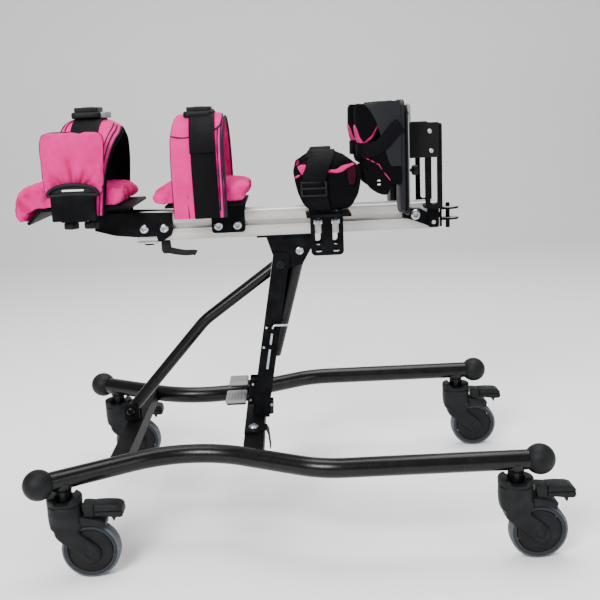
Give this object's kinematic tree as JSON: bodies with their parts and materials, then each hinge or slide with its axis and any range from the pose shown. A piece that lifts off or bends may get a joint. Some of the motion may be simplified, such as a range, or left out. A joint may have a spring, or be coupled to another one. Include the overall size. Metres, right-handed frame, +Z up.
{
  "type": "supine standing frame",
  "caption": "Wheeled supine standing frame for a child: a tilting board with padded chest, hip, knee and foot supports on a bent tube chassis with braked castors.",
  "frame": {"origin": "on the floor, at the middle of the frame's length and width", "axes": "+X from the head end to the foot end, +Y from the near side to the far side, +Z up"},
  "size_m": [0.958, 0.6204, 0.786],
  "materials": {
    "rail_near": "satin black powder coat",
    "end_cap_head_near": "moulded black plastic",
    "castor_head_near_fork": "moulded black plastic",
    "castor_head_near_wheel": "dark grey soft tyre on a black hub",
    "castor_head_near_brake_pedal": "moulded black plastic",
    "end_cap_foot_near": "moulded black plastic",
    "castor_foot_near_fork": "moulded black plastic",
    "castor_foot_near_wheel": "dark grey soft tyre on a black hub",
    "castor_foot_near_brake_pedal": "moulded black plastic",
    "chest_arm_near": "satin black powder coat",
    "chest_bracket_near": "satin black powder coat",
    "chest_pad_near": "pink woven cover over foam",
    "knee_bracket_near": "satin black powder coat",
    "knee_cuff_near": "black fleece and webbing over foam",
    "foot_side_plate_near": "satin black powder coat",
    "foot_bar_near": "satin black powder coat",
    "footplate_near": "satin black powder coat",
    "sandal_near": "moulded black plastic",
    "rail_far": "satin black powder coat",
    "end_cap_head_far": "moulded black plastic",
    "castor_head_far_fork": "moulded black plastic",
    "castor_head_far_wheel": "dark grey soft tyre on a black hub",
    "castor_head_far_brake_pedal": "moulded black plastic",
    "end_cap_foot_far": "moulded black plastic",
    "castor_foot_far_fork": "moulded black plastic",
    "castor_foot_far_wheel": "dark grey soft tyre on a black hub",
    "castor_foot_far_brake_pedal": "moulded black plastic",
    "chest_arm_far": "satin black powder coat",
    "chest_bracket_far": "satin black powder coat",
    "chest_pad_far": "pink woven cover over foam",
    "knee_bracket_far": "satin black powder coat",
    "knee_cuff_far": "black fleece and webbing over foam",
    "foot_side_plate_far": "satin black powder coat",
    "foot_bar_far": "satin black powder coat",
    "footplate_far": "satin black powder coat",
    "sandal_far": "moulded black plastic",
    "front_cross_tube": "satin black powder coat",
    "centre_cross_tube": "satin black powder coat",
    "brace_clevis": "satin black powder coat",
    "brace_tube": "satin black powder coat",
    "mast": "satin black powder coat",
    "pivot_bracket": "satin black powder coat",
    "pivot_pin": "satin black powder coat",
    "strut_cylinder": "satin black powder coat",
    "latch_plate": "satin black powder coat",
    "chest_tray": "satin black powder coat",
    "hip_bracket": "satin black powder coat",
    "mast_hook": "zinc plated",
    "strut_top_pin": "zinc plated",
    "strut_rod": "zinc plated",
    "latch_rod": "zinc plated",
    "foot_cross_block": "zinc plated",
    "board_rail": "natural anodised extrusion",
    "pump_pedal": "grey moulded plastic",
    "release_pedal": "grey moulded plastic",
    "chest_clamp_lever": "moulded black plastic",
    "chest_cushion": "pink woven cover over foam",
    "chest_band": "pink woven cover over foam",
    "hip_cushion": "pink woven cover over foam",
    "hip_wrap": "pink woven cover over foam"
  },
  "bodies": {
    "chassis": {"rail_near": "rail_near", "rail_far": "rail_far", "end_cap_head_near": "end_cap_head_near", "end_cap_head_far": "end_cap_head_far", "end_cap_foot_near": "end_cap_foot_near", "end_cap_foot_far": "end_cap_foot_far", "front_cross_tube": "front_cross_tube", "centre_cross_tube": "centre_cross_tube", "brace_clevis": "brace_clevis", "brace_tube": "brace_tube", "mast": "mast", "mast_hook": "mast_hook", "pivot_pin": "pivot_pin", "latch_plate": "latch_plate"},
    "board": {"board_rail": "board_rail", "pivot_bracket": "pivot_bracket", "strut_top_pin": "strut_top_pin", "foot_cross_block": "foot_cross_block"},
    "tilt_strut_cylinder": {"strut_cylinder": "strut_cylinder"},
    "tilt_strut_rod": {"strut_rod": "strut_rod"},
    "latch_bolt": {"latch_rod": "latch_rod"},
    "pump_pedal_body": {"pump_pedal": "pump_pedal"},
    "release_pedal_body": {"release_pedal": "release_pedal"},
    "chest_section": {"chest_arm_near": "chest_arm_near", "chest_arm_far": "chest_arm_far", "chest_tray": "chest_tray", "chest_cushion": "chest_cushion", "chest_band": "chest_band"},
    "clamp_lever": {"chest_clamp_lever": "chest_clamp_lever"},
    "hip_section": {"hip_bracket": "hip_bracket", "hip_cushion": "hip_cushion", "hip_wrap": "hip_wrap"},
    "castor_head_near_swivel": {"castor_head_near_fork": "castor_head_near_fork"},
    "castor_head_near_roller": {"castor_head_near_wheel": "castor_head_near_wheel"},
    "castor_head_near_lock": {"castor_head_near_brake_pedal": "castor_head_near_brake_pedal"},
    "castor_foot_near_swivel": {"castor_foot_near_fork": "castor_foot_near_fork"},
    "castor_foot_near_roller": {"castor_foot_near_wheel": "castor_foot_near_wheel"},
    "castor_foot_near_lock": {"castor_foot_near_brake_pedal": "castor_foot_near_brake_pedal"},
    "chest_lateral_near": {"chest_bracket_near": "chest_bracket_near", "chest_pad_near": "chest_pad_near"},
    "knee_support_near": {"knee_bracket_near": "knee_bracket_near", "knee_cuff_near": "knee_cuff_near"},
    "foot_arm_near": {"foot_side_plate_near": "foot_side_plate_near"},
    "foot_height_bar_near": {"foot_bar_near": "foot_bar_near"},
    "foot_rest_near": {"footplate_near": "footplate_near", "sandal_near": "sandal_near"},
    "castor_head_far_swivel": {"castor_head_far_fork": "castor_head_far_fork"},
    "castor_head_far_roller": {"castor_head_far_wheel": "castor_head_far_wheel"},
    "castor_head_far_lock": {"castor_head_far_brake_pedal": "castor_head_far_brake_pedal"},
    "castor_foot_far_swivel": {"castor_foot_far_fork": "castor_foot_far_fork"},
    "castor_foot_far_roller": {"castor_foot_far_wheel": "castor_foot_far_wheel"},
    "castor_foot_far_lock": {"castor_foot_far_brake_pedal": "castor_foot_far_brake_pedal"},
    "chest_lateral_far": {"chest_bracket_far": "chest_bracket_far", "chest_pad_far": "chest_pad_far"},
    "knee_support_far": {"knee_bracket_far": "knee_bracket_far", "knee_cuff_far": "knee_cuff_far"},
    "foot_arm_far": {"foot_side_plate_far": "foot_side_plate_far"},
    "foot_height_bar_far": {"foot_bar_far": "foot_bar_far"},
    "foot_rest_far": {"footplate_far": "footplate_far", "sandal_far": "sandal_far"}
  },
  "joints": [
    {"name": "board_tilt", "type": "hinge", "parent": "chassis", "child": "board", "pos_m": [-0.003, 0, 0.487], "axis": [0, 1, 0], "range_deg": [0, 90]},
    {"name": "strut_swing", "type": "hinge", "parent": "board", "child": "tilt_strut_cylinder", "pos_m": [0.034, 0, 0.5115], "axis": [0, 1, 0], "range_deg": [-90, 0]},
    {"name": "strut_stroke", "type": "slide", "parent": "tilt_strut_cylinder", "child": "tilt_strut_rod", "axis": [0.273, 0, 0.962], "range_m": [0, 0.0605]},
    {"name": "latch_slide", "type": "slide", "parent": "chassis", "child": "latch_bolt", "axis": [0.1755, 0, 0.9845], "range_m": [0, 0.025]},
    {"name": "pump_pedal_press", "type": "hinge", "parent": "chassis", "child": "pump_pedal_body", "pos_m": [-0.0675, 0, 0.253], "axis": [0, -1, 0], "range_deg": [0, 18], "stiffness_Nm_per_rad": 4, "springref_deg": -8.59},
    {"name": "release_pedal_press", "type": "hinge", "parent": "chassis", "child": "release_pedal_body", "pos_m": [-0.0735, 0, 0.221], "axis": [0, -1, 0], "range_deg": [0, 14], "stiffness_Nm_per_rad": 4, "springref_deg": -8.59},
    {"name": "chest_section_slide", "type": "slide", "parent": "board", "child": "chest_section", "axis": [1, 0, 0], "range_m": [-0.03, 0.01]},
    {"name": "clamp_lever_turn", "type": "hinge", "parent": "chest_section", "child": "clamp_lever", "pos_m": [-0.2135, 0, 0.5408], "axis": [0, 0, 1], "range_deg": [-90, 0]},
    {"name": "hip_section_slide", "type": "slide", "parent": "board", "child": "hip_section", "axis": [1, 0, 0], "range_m": [-0.01, 0.05]},
    {"name": "castor_head_near_swivel_turn", "type": "hinge", "parent": "chassis", "child": "castor_head_near_swivel", "pos_m": [-0.38579, -0.26299, 0.1475], "axis": [0, 0, 1], "continuous": true},
    {"name": "castor_head_near_wheel_roll", "type": "hinge", "parent": "castor_head_near_swivel", "child": "castor_head_near_roller", "pos_m": [-0.34679, -0.26299, 0.05], "axis": [0, 1, 0], "continuous": true},
    {"name": "castor_head_near_brake_press", "type": "hinge", "parent": "castor_head_near_swivel", "child": "castor_head_near_lock", "pos_m": [-0.34979, -0.26299, 0.134], "axis": [0, 1, 0], "range_deg": [0, 8]},
    {"name": "castor_foot_near_swivel_turn", "type": "hinge", "parent": "chassis", "child": "castor_foot_near_swivel", "pos_m": [0.3805, -0.271, 0.1475], "axis": [0, 0, 1], "continuous": true},
    {"name": "castor_foot_near_wheel_roll", "type": "hinge", "parent": "castor_foot_near_swivel", "child": "castor_foot_near_roller", "pos_m": [0.4195, -0.271, 0.05], "axis": [0, 1, 0], "continuous": true},
    {"name": "castor_foot_near_brake_press", "type": "hinge", "parent": "castor_foot_near_swivel", "child": "castor_foot_near_lock", "pos_m": [0.4165, -0.271, 0.134], "axis": [0, 1, 0], "range_deg": [0, 8]},
    {"name": "chest_lateral_slide_near", "type": "slide", "parent": "chest_section", "child": "chest_lateral_near", "axis": [0, -1, 0], "range_m": [0, 0.02]},
    {"name": "knee_height_near", "type": "slide", "parent": "board", "child": "knee_support_near", "axis": [0, 0, 1], "range_m": [0, 0.022]},
    {"name": "foot_reach_near", "type": "slide", "parent": "board", "child": "foot_arm_near", "axis": [1, 0, 0], "range_m": [0, 0.03]},
    {"name": "foot_angle_near", "type": "hinge", "parent": "foot_arm_near", "child": "foot_height_bar_near", "pos_m": [0.285, -0.058, 0.5565], "axis": [0, 1, 0], "range_deg": [0, 15]},
    {"name": "foot_height_near", "type": "slide", "parent": "foot_height_bar_near", "child": "foot_rest_near", "axis": [0, 0, 1], "range_m": [-0.015, 0]},
    {"name": "castor_head_far_swivel_turn", "type": "hinge", "parent": "chassis", "child": "castor_head_far_swivel", "pos_m": [-0.38579, 0.26299, 0.1475], "axis": [0, 0, 1], "continuous": true},
    {"name": "castor_head_far_wheel_roll", "type": "hinge", "parent": "castor_head_far_swivel", "child": "castor_head_far_roller", "pos_m": [-0.34679, 0.26299, 0.05], "axis": [0, 1, 0], "continuous": true},
    {"name": "castor_head_far_brake_press", "type": "hinge", "parent": "castor_head_far_swivel", "child": "castor_head_far_lock", "pos_m": [-0.34979, 0.26299, 0.134], "axis": [0, 1, 0], "range_deg": [0, 8]},
    {"name": "castor_foot_far_swivel_turn", "type": "hinge", "parent": "chassis", "child": "castor_foot_far_swivel", "pos_m": [0.3805, 0.271, 0.1475], "axis": [0, 0, 1], "continuous": true},
    {"name": "castor_foot_far_wheel_roll", "type": "hinge", "parent": "castor_foot_far_swivel", "child": "castor_foot_far_roller", "pos_m": [0.4195, 0.271, 0.05], "axis": [0, 1, 0], "continuous": true},
    {"name": "castor_foot_far_brake_press", "type": "hinge", "parent": "castor_foot_far_swivel", "child": "castor_foot_far_lock", "pos_m": [0.4165, 0.271, 0.134], "axis": [0, 1, 0], "range_deg": [0, 8]},
    {"name": "chest_lateral_slide_far", "type": "slide", "parent": "chest_section", "child": "chest_lateral_far", "axis": [0, 1, 0], "range_m": [0, 0.02]},
    {"name": "knee_height_far", "type": "slide", "parent": "board", "child": "knee_support_far", "axis": [0, 0, 1], "range_m": [0, 0.022]},
    {"name": "foot_reach_far", "type": "slide", "parent": "board", "child": "foot_arm_far", "axis": [1, 0, 0], "range_m": [0, 0.03]},
    {"name": "foot_angle_far", "type": "hinge", "parent": "foot_arm_far", "child": "foot_height_bar_far", "pos_m": [0.285, 0.058, 0.5565], "axis": [0, 1, 0], "range_deg": [0, 15]},
    {"name": "foot_height_far", "type": "slide", "parent": "foot_height_bar_far", "child": "foot_rest_far", "axis": [0, 0, 1], "range_m": [-0.015, 0]}
  ],
  "couplings": [
    {"joint": "strut_swing", "follows": "board_tilt", "ratio": -0.986},
    {"joint": "strut_stroke", "follows": "board_tilt", "m_per_rad": 0.03826}
  ]
}
